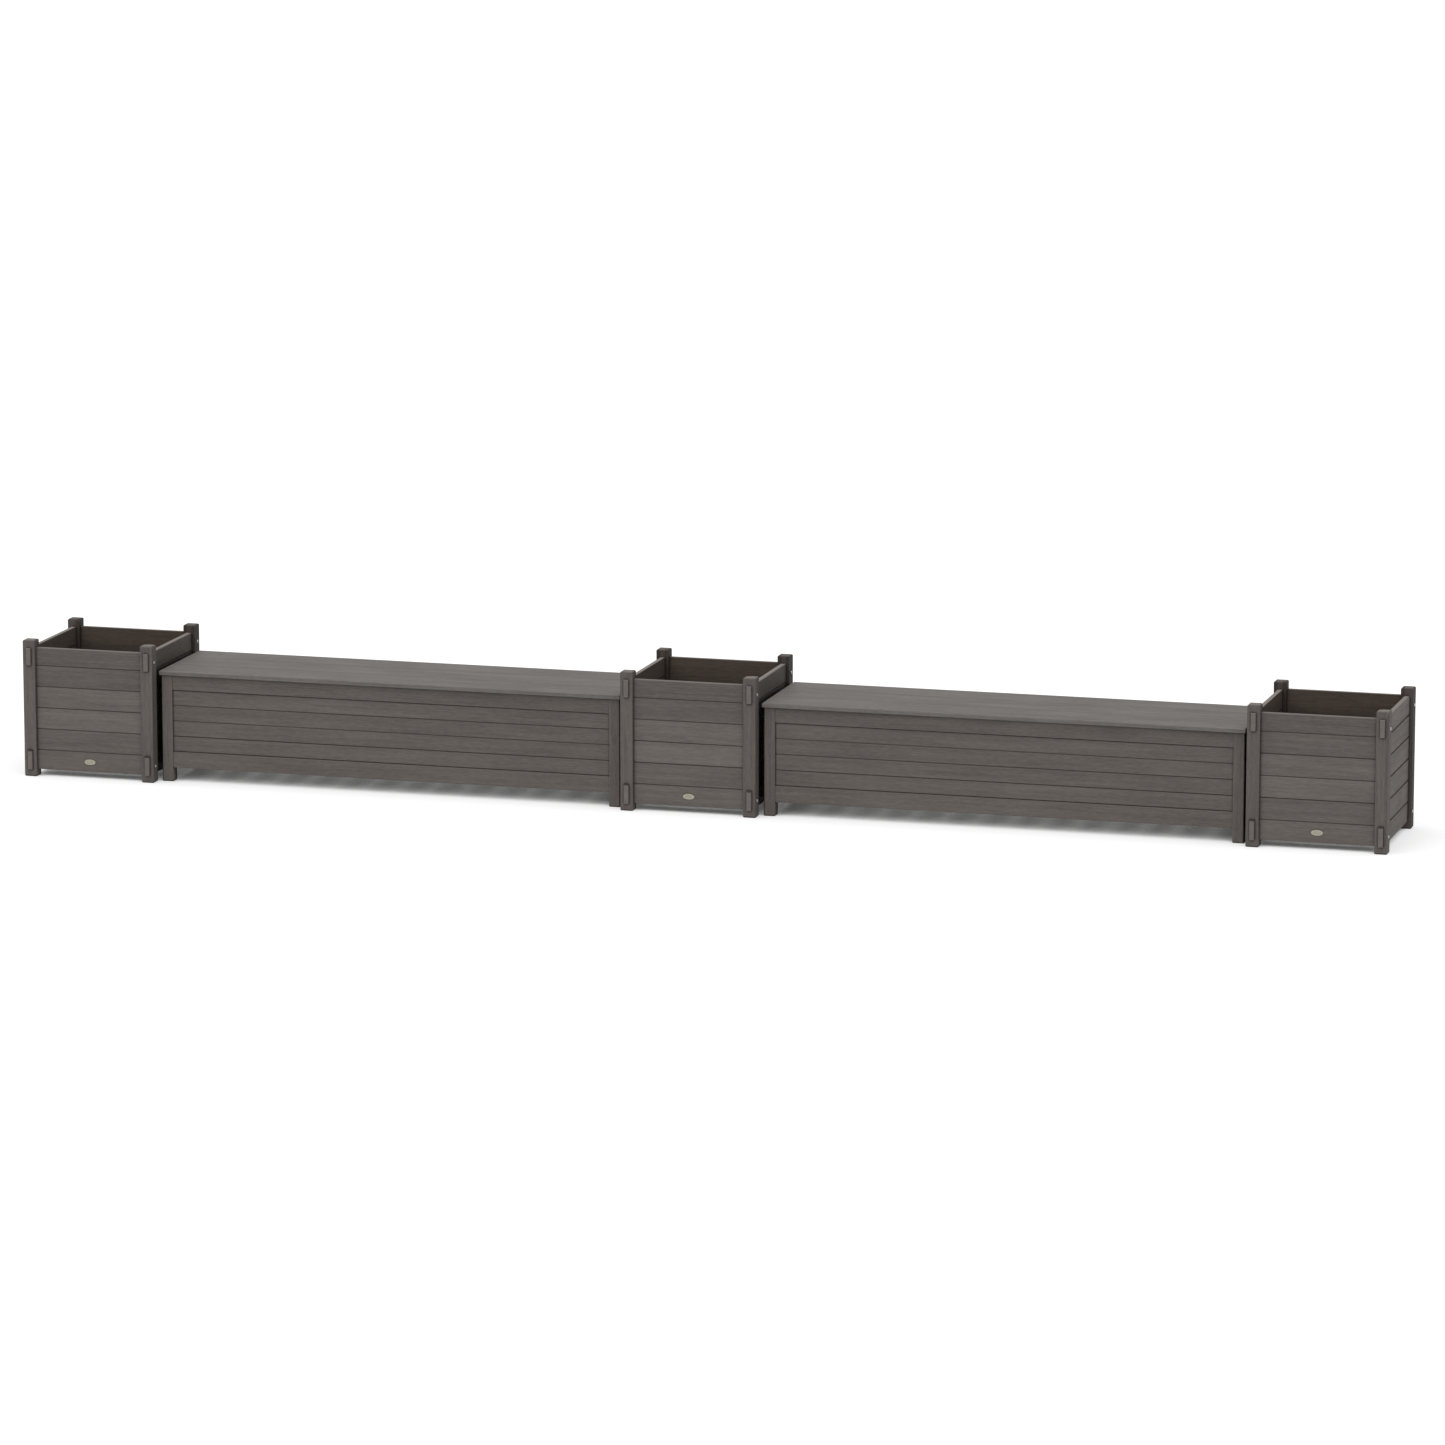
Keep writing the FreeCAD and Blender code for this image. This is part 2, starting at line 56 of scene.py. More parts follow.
PITCH = 2.5                 # one planter's centre to the next
ROW_END = 2.5               # row's middle to the outer planters' centres
INSIDE = 0.2403             # planter's centre to its walls' inner faces
BENCH_END = 0.3155          # planter's centre to the inner face of a bench's end
BENCH_SIDE = 0.1953         # row's middle line to the inner faces of a bench's long walls
GAP_START = 0.2596          # planter's centre to its walls' outer faces
GAP_END = 0.2965            # planter's centre to the outer face of a bench's end
GAP_SIDE = 0.226            # row's middle line to where a gap's painted shadow ends
GAP_TOP = 0.446             # how high a gap's painted shadow reaches
POST_SIDE = 0.2735          # planter's centre to its posts' outer faces, less the eased edge
POST_TOP = 0.5              # up to where a bench's end shelters a planter's posts
REAR_POSTS = 0.2248         # row's middle line to the rear posts' front faces
GROOVE_START = 0.108        # ground to a planter's lowest groove
GROOVE_PITCH = 0.086
GROOVE_COUNT = 5
GROOVE_LOW = -0.0048        # painted shade and dirt below a groove's middle
GROOVE_HIGH = 0.0022        # painted shade and dirt above a groove's middle
SEAM = 0.078                # middle line to the seams between a lid's boards
SEAM_HALF = 0.0018
DEPTH_START = 0.5           # painted shade on inner faces darkens from this height
DEPTH_END = 0.38            # down to this one
PLATE_WIDTH = 0.046
PLATE_HEIGHT = 0.022
PLATE_LEVEL = 0.068         # ground to the plates' centres
LEAF_THICKNESS = 0.002
LEAF_WIDTH = 0.028
LID_UNDERSIDE = 0.434


# Settings

class TimberSettings(bpy.types.PropertyGroup):
    """Colours and make of the stained boards."""
    planter_colour: FloatVectorProperty(
        name="Planter stain", description="Middle colour of the planters' boards and posts",
        subtype="COLOR", size=3, min=0, max=1, default=(0.095, 0.084, 0.0765))
    bench_colour: FloatVectorProperty(
        name="Bench stain", description="Middle colour of the benches' carcasses",
        subtype="COLOR", size=3, min=0, max=1, default=(0.095, 0.0835, 0.0755))
    seat_colour: FloatVectorProperty(
        name="Seat stain", description="Middle colour of the lid boards",
        subtype="COLOR", size=3, min=0, max=1, default=(0.117, 0.107, 0.1))
    hidden_colour: FloatVectorProperty(
        name="Inner timber", description="Middle colour of floors, bearers and battens",
        subtype="COLOR", size=3, min=0, max=1, default=(0.094, 0.079, 0.068))
    # Inner faces take this darker colour as painted shade inside the planters and benches; it is also the
    # base of the other painted shade and of the dirt in the grooves.
    inside_shade_colour: FloatVectorProperty(
        name="Wall insides", description="Middle colour of the walls' inner faces",
        subtype="COLOR", size=3, min=0, max=1, default=(0.066, 0.049, 0.038))
    ring_spacing: FloatProperty(
        name="Growth rings", description="Distance from one growth ring to the next",
        unit="LENGTH", min=0.001, default=0.0042)
    grain_depth: FloatProperty(
        name="Grain depth", description="Height of the raised grain",
        unit="LENGTH", min=0, default=0.0004)
    edge_radius: FloatProperty(
        name="Edge radius", description="Rounding of the sawn edges",
        unit="LENGTH", min=0, default=0.0011)
    edge_wear: FloatProperty(
        name="Edge wear", description="How much the stain is rubbed off the edges",
        subtype="FACTOR", min=0, max=1, default=0.35)
    # Painted shade: ambient occlusion darkens the wood in grooves and beside joints, within this reach
    # and to this depth.
    crevice_shade_reach: FloatProperty(
        name="Crevice reach", description="How far stain and dust darken the wood beside joints",
        unit="LENGTH", min=0, default=0.009)
    crevice_shade_depth: FloatProperty(
        name="Crevice depth", description="How dark joints and grooves get",
        subtype="FACTOR", min=0, max=1, default=0.9)


class MetalSettings(bpy.types.PropertyGroup):
    """Colours and sizes of screws, hinges and plates."""
    screw_colour: FloatVectorProperty(
        name="Screws", description="Colour of the zinc on the screws",
        subtype="COLOR", size=3, min=0, max=1, default=(0.42, 0.42, 0.41))
    plate_colour: FloatVectorProperty(
        name="Oval plates", description="Colour of the blank oval plates",
        subtype="COLOR", size=3, min=0, max=1, default=(0.38, 0.365, 0.29))
    hinge_colour: FloatVectorProperty(
        name="Hinges", description="Colour of the hinges' steel",
        subtype="COLOR", size=3, min=0, max=1, default=(0.42, 0.42, 0.41))
    head_radius: FloatProperty(
        name="Domed heads", description="Radius of the domed heads on the planters' posts",
        unit="LENGTH", min=0.001, default=0.0063)
    head_height: FloatProperty(
        name="Head height", description="Height of the domed heads",
        unit="LENGTH", min=0.001, default=0.0036)
    socket_width: FloatProperty(
        name="Key socket", description="Across the flats of the key socket in a domed head",
        unit="LENGTH", min=0.001, default=0.004)
    hinge_screw_radius: FloatProperty(
        name="Hinge screws", description="Radius of the heads on the hinges, and width of their sockets",
        unit="LENGTH", min=0.001, default=0.0033)
    hinge_screw_spread: FloatProperty(
        name="Hinge screw spread", description="From a hinge's middle screw to the next one",
        unit="LENGTH", min=0.01, default=0.024)
    frame_head_rise: FloatProperty(
        name="Frame leaf heads", description="How far the screws' heads stand up from the frame's leaves",
        unit="LENGTH", min=0, default=0.0006)
    lid_head_rise: FloatProperty(
        name="Lid leaf heads", description="How far the screws' heads stand up from the lids' leaves",
        unit="LENGTH", min=0, max=0.0001, default=0.00006)


class StudioSettings(bpy.types.PropertyGroup):
    """Floor, light and camera."""
    floor_colour: FloatVectorProperty(
        name="Floor", description="Colour of the plain floor",
        subtype="COLOR", size=3, min=0, max=1, default=(0.55, 0.55, 0.55))
    floor_glow: FloatProperty(
        name="Floor glow", description="Light that the floor gives off, as a light table does",
        min=0, default=0.39)
    # The glow's fade near the furniture is a painted shadow.
    glow_reach: FloatProperty(
        name="Glow reach", description="How near the furniture the floor's glow begins to fade",
        unit="LENGTH", min=0, default=0.3)
    floor_size: FloatProperty(
        name="Floor size", description="Length of each side of the floor",
        unit="LENGTH", min=10, default=160)
    sky_strength: FloatProperty(
        name="Sky", description="Strength of the even white light from all round", min=0, default=0.5)
    key_strength: FloatProperty(
        name="Key light", description="Strength of the broad soft light overhead", min=0, default=3.1)
    key_spread: FloatProperty(
        name="Key spread", description="How wide the overhead light looks from the bench",
        subtype="ANGLE", default=math.radians(100))
    key_tilt: FloatProperty(
        name="Key tilt", description="How far the overhead light leans to the front",
        subtype="ANGLE", default=math.radians(22))
    camera_target: FloatVectorProperty(
        name="Camera target", description="Point that the camera looks at",
        subtype="TRANSLATION", unit="LENGTH", size=3, default=(0.0631, 0, 0.3185))
    camera_distance: FloatProperty(
        name="Camera distance", description="From the target to the camera",
        unit="LENGTH", min=1, default=28.0085)
    camera_turn: FloatProperty(
        name="Camera turn", description="How far the camera stands to the right of straight in front",
        subtype="ANGLE", default=math.radians(15.967))
    camera_rise: FloatProperty(
        name="Camera rise", description="How far the camera looks down",
        subtype="ANGLE", default=math.radians(10.988))
    camera_lens: FloatProperty(
        name="Camera lens", description="Focal length in millimetres",
        unit="CAMERA", min=10, default=177.045)
    camera_frame: FloatProperty(
        name="Camera frame", description="Width of the picture behind the lens in millimetres",
        unit="CAMERA", min=1, default=36)


# Node graphs

SOFT_EDGE = 0.0005          # half the width over which a mask fades, in metres
NOISE_RANGE = (0.3, 0.7)    # where most of a noise's values lie
ON_EDGE = (0.99, 0.75)      # likeness of the true and the rounded normal on a face, and on an edge


class Graph:
    """A material's node tree, with short calls for the nodes that the finishes use."""

    def __init__(self, name):
        self.material = bpy.data.materials.new(name)
        self.material.use_nodes = True
        self.tree = self.material.node_tree
        self.tree.nodes.clear()

    def node(self, kind, **settings):
        """Adds a node with some of its settings."""
        made = self.tree.nodes.new(kind)
        for key, value in settings.items():
            setattr(made, key, value)
        return made

    def feed(self, socket, value):
        """Joins a socket to another one, or sets it to a number or colour."""
        if isinstance(value, bpy.types.NodeSocket):
            self.tree.links.new(value, socket)
        else:
            socket.default_value = value

    def math(self, operation, first, second=0.0):
        """One step of arithmetic."""
        made = self.node("ShaderNodeMath", operation=operation)
        self.feed(made.inputs[0], first)
        self.feed(made.inputs[1], second)
        return made.outputs[0]

    def add(self, first, second):
        return self.math("ADD", first, second)

    def subtract(self, first, second):
        return self.math("SUBTRACT", first, second)

    def times(self, first, second):
        return self.math("MULTIPLY", first, second)

    def divide(self, first, second):
        return self.math("DIVIDE", first, second)

    def power(self, first, second):
        return self.math("POWER", first, second)

    def larger(self, first, second):
        return self.math("MAXIMUM", first, second)

    def without_sign(self, value):
        return self.math("ABSOLUTE", value)

    def vector(self, x, y, z):
        made = self.node("ShaderNodeCombineXYZ")
        for socket, value in zip(made.inputs, (x, y, z)):
            self.feed(socket, value)
        return made.outputs[0]

    def split(self, vector):
        made = self.node("ShaderNodeSeparateXYZ")
        self.feed(made.inputs[0], vector)
        return made.outputs

    def place(self):
        """Where a point lies on the row."""
        return self.node("ShaderNodeTexCoord").outputs["Object"]

    def scaled_place(self, x, y, z):
        """The place multiplied along each axis."""
        parts = zip(self.split(self.place()), (x, y, z))
        return self.vector(*(self.times(part, share) for part, share in parts))

    def noise(self, vector, seed, detail=3.0, roughness=0.6):
        """Noise with features of about one unit, whose fourth coordinate is the seed."""
        made = self.node("ShaderNodeTexNoise", noise_dimensions="4D")
        self.feed(made.inputs["Vector"], vector)
        self.feed(made.inputs["W"], seed)
        made.inputs["Scale"].default_value = 1.0
        made.inputs["Detail"].default_value = detail
        made.inputs["Roughness"].default_value = roughness
        return made.outputs["Fac"]

    def remap(self, value, low, high, new_low, new_high):
        """Turns one range of numbers into another, held at both ends."""
        made = self.node("ShaderNodeMapRange", clamp=True)
        self.feed(made.inputs["Value"], value)
        made.inputs["From Min"].default_value = low
        made.inputs["From Max"].default_value = high
        made.inputs["To Min"].default_value = new_low
        made.inputs["To Max"].default_value = new_high
        return made.outputs["Result"]

    def above(self, value, limit, soft=SOFT_EDGE):
        """1 where a value is over a limit, 0 elsewhere."""
        return self.remap(value, limit - soft, limit + soft, 0.0, 1.0)

    def below(self, value, limit, soft=SOFT_EDGE):
        """1 where a value is under a limit, 0 elsewhere."""
        return self.remap(value, limit - soft, limit + soft, 1.0, 0.0)

    def within(self, value, low, high, soft=SOFT_EDGE):
        """1 where a value lies between two limits, 0 elsewhere."""
        return self.times(self.above(value, low, soft), self.below(value, high, soft))

    def mix(self, factor, first, second):
        """Goes from the first colour to the second."""
        made = self.node("ShaderNodeMix", data_type="RGBA")
        self.feed(made.inputs["Factor"], factor)
        self.feed(made.inputs["A"], (*first, 1) if isinstance(first, tuple) else first)
        self.feed(made.inputs["B"], (*second, 1) if isinstance(second, tuple) else second)
        return made.outputs["Result"]

    def bump(self, height, distance):
        made = self.node("ShaderNodeBump")
        made.inputs["Strength"].default_value = 1.0
        made.inputs["Distance"].default_value = distance
        self.feed(made.inputs["Height"], height)
        return made.outputs["Normal"]

    def edges(self, radius):
        """1 along the edges of a piece, 0 on its faces."""
        rounded = self.node("ShaderNodeBevel", samples=4)
        rounded.inputs["Radius"].default_value = radius
        alike = self.node("ShaderNodeVectorMath", operation="DOT_PRODUCT")
        self.feed(alike.inputs[0], rounded.outputs[0])
        self.feed(alike.inputs[1], self.node("ShaderNodeNewGeometry").outputs["Normal"])
        return self.remap(alike.outputs["Value"], *ON_EDGE, 0.0, 1.0)

    def openness(self, reach, samples):
        """1 on open faces, near 0 where other faces within reach close a point in."""
        made = self.node("ShaderNodeAmbientOcclusion", samples=samples)
        made.inputs["Distance"].default_value = reach
        return made.outputs["AO"]

    def from_planter(self, x):
        """Distance along the row from the nearest planter's centre."""
        nearest = self.math("ROUND", self.divide(x, PITCH))
        return self.without_sign(self.subtract(x, self.times(nearest, PITCH)))

    def finish(self, **inputs):
        """Adds the surface shader and the output."""
        shader = self.node("ShaderNodeBsdfPrincipled")
        for key, value in inputs.items():
            socket = shader.inputs[key.replace("_", " ")]
            self.feed(socket, (*value, 1) if isinstance(value, tuple) else value)
        output = self.node("ShaderNodeOutputMaterial")
        self.tree.links.new(shader.outputs["BSDF"], output.inputs["Surface"])
        return self.material


def shade(colour, amount):
    """The colour made lighter or darker."""
    return tuple(min(1.0, part * amount) for part in colour)


# Stained timber

# Patterns: features to the metre along and across the grain, detail, roughness, seed
STREAKS = (2.4, 62.0, 5.0, 0.62, 0.0)
FIBRES = (16.0, 760.0, 2.0, 0.6, 3.1)
CLOUDS = (3.2, 9.0, 2.0, 0.5, 7.7)
WOBBLE = (1.4, 7.0, 2.0, 0.5, 11.3)
FLECKS = (34.0, 230.0, 4.0, 0.7, 17.9)

# Tones: how far each pattern makes the stain lighter or darker
STREAK_TONES = (0.22, 0.78)
FIBRE_TONE = 0.55
CLOUD_TONE = 0.7
FLECK_TONE = 1.7
RING_TONE = 0.22
BOARD_TONE = 0.12           # from one board to the next
TONE_ROOM = 0.5             # how far tones may lie beyond 0 and 1
MIDDLE_TONE = 0.98          # middle of the stain's range, as a share of its colour
CONTRAST = 0.24             # how far the stain ranges either way

# Boards that took the stain differently: from one height, to another, so much lighter
PLANTER_TONES = ((0.02, 0.108, 0.16), (0.108, 0.194, -0.02), (0.194, 0.28, 0.34),
                 (0.28, 0.366, 0.23), (0.366, 0.452, -0.2), (0.452, 0.53, -0.14))
POST_TONES = ((0.508, 0.56, -0.14),)

# Growth rings
SEED_SPREAD = 61.7          # keeps the boards' patterns apart
PITH_ACROSS = 0.31          # how far off a board's pith may lie, in metres
PITH_UP = 0.5
RING_WOBBLE = 0.03
RING_SHARPNESS = 3.0

# Shades, as shares of a colour
POST_SHADE = 0.95           # planters' posts
SIDE_SHADE = 1.17           # planters' side walls
END_SHADE = 1.75            # end grain
PALE_SHADE = 1.9            # rubbed edges, and upward faces made lighter
SHADE_AND_DIRT = 0.3            # painted shade, and dirt in the grooves, from the colour of the walls' insides
# near-black painted shadow in the gaps between planters and benches
GAP_PAINTED_SHADOW = 0.06

# How much of each effect is laid on
# how much lighter the upward faces of walls are made
UPWARD_LIGHTENING = 0.6
DEPTH_DARK = 0.65           # painted shade deep inside
SHELTER_DARK = 0.45         # painted shade on walls beside a bench
POST_SHELTER = 0.4          # posts' share of that
REAR_DARK = (0.4, 0.68)     # painted shade on the rear posts' front and side faces
# painted shade in the seams between a lid's boards
SEAM_DARK = 0.7
FRONT_DARK = 0.16           # painted shade on the lids' front edges
# painted shade and dirt in a side wall's grooves
GROOVE_DARK = 0.85
FIBRE_RELIEF = 0.5
RING_RELIEF = 0.3
STREAK_RELIEF = 0.4
UNEVEN_GLOSS = (-0.08, 0.1)

# Where effects begin and end
FACING = 6.0                # how quickly one fades as a face turns away
TURNED = (0.3, 0.9)         # how far a post's face looks sideways
BACKWARD = (0.3, 0.7)       # how far it looks to the back
RUB_REACH = 2.5             # how far stain is rubbed off beside an edge, in edge radii
UNEVEN_WEAR = (0.35, 0.6, 0.2, 1.0)     # range of the clouds, and share of the wear at its ends
OPEN_FACE = 0.94            # openness of an open face, which gets no painted shade
CREVICE = 0.45              # openness where a crevice's painted shade is full


class Timber(Graph):
    """Stained softwood with its grain along X, Y or Z, different on each board."""

    def __init__(self, name, colour, grain, settings):
        super().__init__(name)
        self.colour = tuple(colour)
        self.grain = grain
        self.settings = settings
        coordinates = self.node("ShaderNodeTexCoord")
        self.chance = self.node("ShaderNodeNewGeometry").outputs["Random Per Island"]
        self.seed = self.times(self.chance, SEED_SPREAD)
        self.x, self.y, self.z = self.split(coordinates.outputs["Object"])
        self.normal = self.split(coordinates.outputs["Normal"])
        along, across, up = {"X": (0, 1, 2), "Y": (1, 0, 2), "Z": (2, 0, 1)}[grain]
        place = (self.x, self.y, self.z)
        self.along, self.across, self.up = place[along], place[across], place[up]
        self.end_face = self.power(self.without_sign(self.normal[along]), FACING)
        self.streaks = self.pattern(*STREAKS)
        self.fibres = self.pattern(*FIBRES)
        self.clouds = self.pattern(*CLOUDS)
        self.late_wood = self.growth_rings()
        self.tone = self.board_tone()

    def pattern(self, lengthwise, crosswise, detail, roughness, seed):
        """Noise drawn out along the grain."""
        drawn_out = self.vector(self.times(self.along, lengthwise), self.times(self.across, crosswise),
                                self.times(self.up, crosswise))
        return self.noise(drawn_out, self.add(self.seed, seed), detail, roughness)

    def growth_rings(self):
        """Towards 1 in each ring's dark late wood, round a pith of each board's own."""
        across = self.add(self.across, self.times(self.chance, PITH_ACROSS))
        up = self.subtract(self.up, self.times(self.math("FRACT", self.seed), PITH_UP))
        distance = self.math("SQRT", self.add(self.power(across, 2.0), self.power(up, 2.0)))
        bent = self.add(distance, self.times(self.pattern(*WOBBLE), RING_WOBBLE))
        ring = self.math("FRACT", self.divide(bent, self.settings.ring_spacing))
        return self.power(ring, RING_SHARPNESS)

    def board_tone(self):
        """How lightly the stain has taken, from 0 to 1."""
        tone = self.remap(self.streaks, *NOISE_RANGE, *STREAK_TONES)
        effects = ((self.fibres, FIBRE_TONE), (self.clouds, CLOUD_TONE),
                   (self.pattern(*FLECKS), FLECK_TONE), (self.chance, BOARD_TONE))
        for effect, amount in effects:
            tone = self.add(tone, self.times(self.subtract(effect, 0.5), amount))
        tone = self.subtract(tone, self.times(self.late_wood, RING_TONE))
        return self.larger(self.math("MINIMUM", tone, 1.0), 0.0)

    def stained(self, colour, contrast, tone):
        """The stain for a tone, with room for tones beyond 0 and 1."""
        spread = (1 + 2 * TONE_ROOM) * contrast
        return self.mix(self.remap(tone, -TONE_ROOM, 1 + TONE_ROOM, 0.0, 1.0),
                        shade(colour, MIDDLE_TONE - spread), shade(colour, MIDDLE_TONE + spread))

    def blend(self, mask, colour):
        """Changes the stain towards a colour."""
        self.stain = self.mix(mask, self.stain, colour)

    def lay_shade_and_dirt(self, mask, amount=1.0):
        """Lays a dark colour on the stain: painted shade, and dirt in the grooves."""
        self.blend(self.times(mask, amount), shade(self.settings.inside_shade_colour, SHADE_AND_DIRT))

    def stain_boards(self, contrast, tones, end_grain):
        """Stains the boards, lighter or darker at some heights and lighter on end grain."""
        tone = self.tone
        for low, high, change in tones:
            tone = self.add(tone, self.times(self.within(self.z, low, high), change))
        self.stain = self.stained(self.colour, contrast, tone)
        self.blend(self.times(self.end_face, end_grain), shade(self.colour, END_SHADE))

    def lighten_tops_and_shade_walls(self):
        """Makes the upward faces lighter, and paints shade on the insides, darker lower down, in the
        gaps, on sheltered faces and on the rear posts.
        """
        if self.grain != "Z":
            upward = self.power(self.larger(self.normal[2], 0.0), FACING)
            self.blend(self.times(upward, UPWARD_LIGHTENING), shade(self.colour, PALE_SHADE))
        inside_shade_colour = self.settings.inside_shade_colour
        # Painted shade on the inner faces: the darker inside colour, darker still lower down.
        shaded_inside = self.stained(inside_shade_colour, CONTRAST, self.tone)
        depth = self.remap(self.z, DEPTH_END, DEPTH_START, DEPTH_DARK, 0.0)
        self.blend(self.inner_faces(), self.mix(depth, shaded_inside, shade(inside_shade_colour, SHADE_AND_DIRT)))
        self.lay_shade_and_dirt(self.sheltered_faces(), SHELTER_DARK)
        self.blend(self.gaps(), shade(inside_shade_colour, GAP_PAINTED_SHADOW))
        if self.grain == "Z":
            self.lay_shade_and_dirt(self.rear_posts())

    def inner_faces(self):
        """1 inside the planters and the benches."""
        reach = self.from_planter(self.x)
        depth = self.without_sign(self.y)
        planter = self.times(self.below(reach, INSIDE), self.below(depth, INSIDE))
        bench = self.times(self.above(reach, BENCH_END), self.below(depth, BENCH_SIDE))
        return self.larger(planter, bench)

    def beside_bench(self):
        """1 between the outer planters' centres, where planters stand beside benches."""
        return self.below(self.without_sign(self.x), ROW_END)

    def gaps(self):
        """1 in the gaps between planters and benches, where a near-black shadow is painted."""
        wide = self.within(self.from_planter(self.x), GAP_START, GAP_END)
        deep = self.below(self.without_sign(self.y), GAP_SIDE)
        low = self.below(self.z, GAP_TOP, soft=0.006)
        return self.times(self.times(wide, deep), self.times(low, self.beside_bench()))

    def sheltered_faces(self):
        """1 on a planter's wall that a bench's end shelters, less on the posts beside it; shade is
        painted there.
        """
        reach = self.from_planter(self.x)
        deep = self.below(self.without_sign(self.y), GAP_SIDE)
        wall = self.times(self.within(reach, GAP_START, POST_SIDE), deep)
        low = self.below(self.z, POST_TOP, soft=0.04)
        posts = self.times(self.within(reach, POST_SIDE, GAP_END), low)
        return self.times(self.larger(wall, self.times(posts, POST_SHELTER)), self.beside_bench())

    def rear_posts(self):
        """How much painted shade the rear posts get in front and at their sides."""
        sideways = self.remap(self.without_sign(self.normal[0]), *TURNED, *REAR_DARK)
        not_behind = self.remap(self.normal[1], *BACKWARD, 1.0, 0.0)
        return self.times(self.times(self.above(self.y, REAR_POSTS), sideways), not_behind)

    def darken_seams(self):
        """Paints shade into the seams between a lid's boards, and a little onto its front edge."""
        off = self.without_sign(self.subtract(self.without_sign(self.y), SEAM))
        self.lay_shade_and_dirt(self.below(off, SEAM_HALF), SEAM_DARK)
        self.lay_shade_and_dirt(self.larger(self.times(self.normal[1], -1.0), 0.0), FRONT_DARK)

    def darken_grooves(self):
        """Darkens the grooves of a planter's side walls with painted shade, and with dirt where stain has
        gathered.
        """
        row = self.divide(self.subtract(self.z, GROOVE_START), GROOVE_PITCH)
        nearest = self.math("ROUND", row)
        off = self.times(self.subtract(row, nearest), GROOVE_PITCH)
        groove = self.within(off, GROOVE_LOW, GROOVE_HIGH, soft=0.0008)
        counted = self.within(nearest, -0.5, GROOVE_COUNT - 0.5, soft=0.1)
        self.lay_shade_and_dirt(self.times(groove, counted), GROOVE_DARK)

    def wear_edges(self):
        """Rubs the stain off the edges, here more and there less."""
        uneven = self.remap(self.clouds, *UNEVEN_WEAR)
        rubbed = self.times(self.edges(RUB_REACH * self.settings.edge_radius), uneven)
        self.blend(self.times(rubbed, self.settings.edge_wear), shade(self.colour, PALE_SHADE))

    def paint_crevice_shade(self, amount):
        """Paints shade into grooves and onto the wood close to its neighbours, where ambient occlusion
        finds it closed in.
        """
        openness = self.openness(self.settings.crevice_shade_reach, samples=6)
        self.lay_shade_and_dirt(self.remap(openness, OPEN_FACE, CREVICE, 0.0, self.settings.crevice_shade_depth), amount)

    def sanded(self, roughness, gloss):
        """Adds the raised grain and finishes the material."""
        height = self.add(self.times(self.fibres, FIBRE_RELIEF), self.times(self.late_wood, RING_RELIEF))
        height = self.add(height, self.times(self.streaks, STREAK_RELIEF))
        uneven = self.remap(self.fibres, *NOISE_RANGE, *(roughness + change for change in UNEVEN_GLOSS))
        return self.finish(Base_Color=self.stain, Roughness=uneven, Specular_IOR_Level=gloss,
                           Normal=self.bump(height, self.settings.grain_depth))


def stained_timber(name, colour, grain, settings, roughness=0.7, gloss=0.12, contrast=CONTRAST,
                   end_grain=0.45, crevice_shade=1.0, tones=(), walls=True, seams=False, grooves=False):
    """Makes a stained timber for some boards; walls are those with an inside and an outside."""
    timber = Timber(name, colour, grain, settings)
    timber.stain_boards(contrast, tones, end_grain)
    if walls:
        timber.lighten_tops_and_shade_walls()
    if seams:
        timber.darken_seams()
    if grooves:
        timber.darken_grooves()
    timber.wear_edges()
    timber.paint_crevice_shade(crevice_shade)
    return timber.sanded(roughness, gloss)


def timber_set(label, colour, grains, settings, **options):
    """The same stain for boards along several axes."""
    return {grain: stained_timber(f"{label}_grain_{grain.lower()}", colour, grain, settings, **options)
            for grain in grains}


# Metal and floor

SPANGLES = 900.0            # zinc's spangles to the metre
SPANGLE_HEIGHT = 0.00004
SPANGLE_SHADES = (0.82, 1.08)
SPANGLE_GLOSS = (-0.06, 0.12)
BRUSHING = (60.0, 4000.0, 4000.0)   # brass's brush marks to the metre along X, Y and Z
BRUSH_HEIGHT = 0.00005
BRUSH_ROUGHNESS = (0.38, 0.55)
PATINA = (160.0, 1.0, 160.0)        # patches to the metre along X, Y and Z
PATINA_RANGE = (0.35, 0.65)
PATINA_SHADES = (0.86, 1.1)
FIELD_EDGE = (0.66, 0.72)   # where a plate's darker field ends, as a share of the plate's half width
FIELD_SHADE = 0.62
FIELD_DARK = 0.45
RIM_REACH = 0.0012          # width of a plate's rubbed edge
RIM_SHADE = 1.35
RIM_WEAR = 0.4
FLOOR_ROUGHNESS = (0.8, 0.9)
GLOW_RANGE = (0.11, 0.25)   # floor's openness where the glow is least and where it is full
GLOW_IN_PAINTED_SHADOW = 0.12           # share of the glow left under the furniture, a painted shadow


def shaded(graph, mask, colour, shades):
    """Goes from one shade of a colour to another."""
    return graph.mix(mask, *(shade(colour, amount) for amount in shades))


def zinc(name, colour, roughness=0.3):
    """Bright zinc with a faint spangle."""
    graph = Graph(name)
    spangle = graph.noise(graph.scaled_place(SPANGLES, SPANGLES, SPANGLES), seed=2.0)
    metal = shaded(graph, graph.remap(spangle, *NOISE_RANGE, 0.0, 1.0), colour, SPANGLE_SHADES)
    uneven = graph.remap(spangle, *NOISE_RANGE, *(roughness + change for change in SPANGLE_GLOSS))
    return graph.finish(Base_Color=metal, Metallic=1.0, Roughness=uneven,
                        Normal=graph.bump(spangle, SPANGLE_HEIGHT))


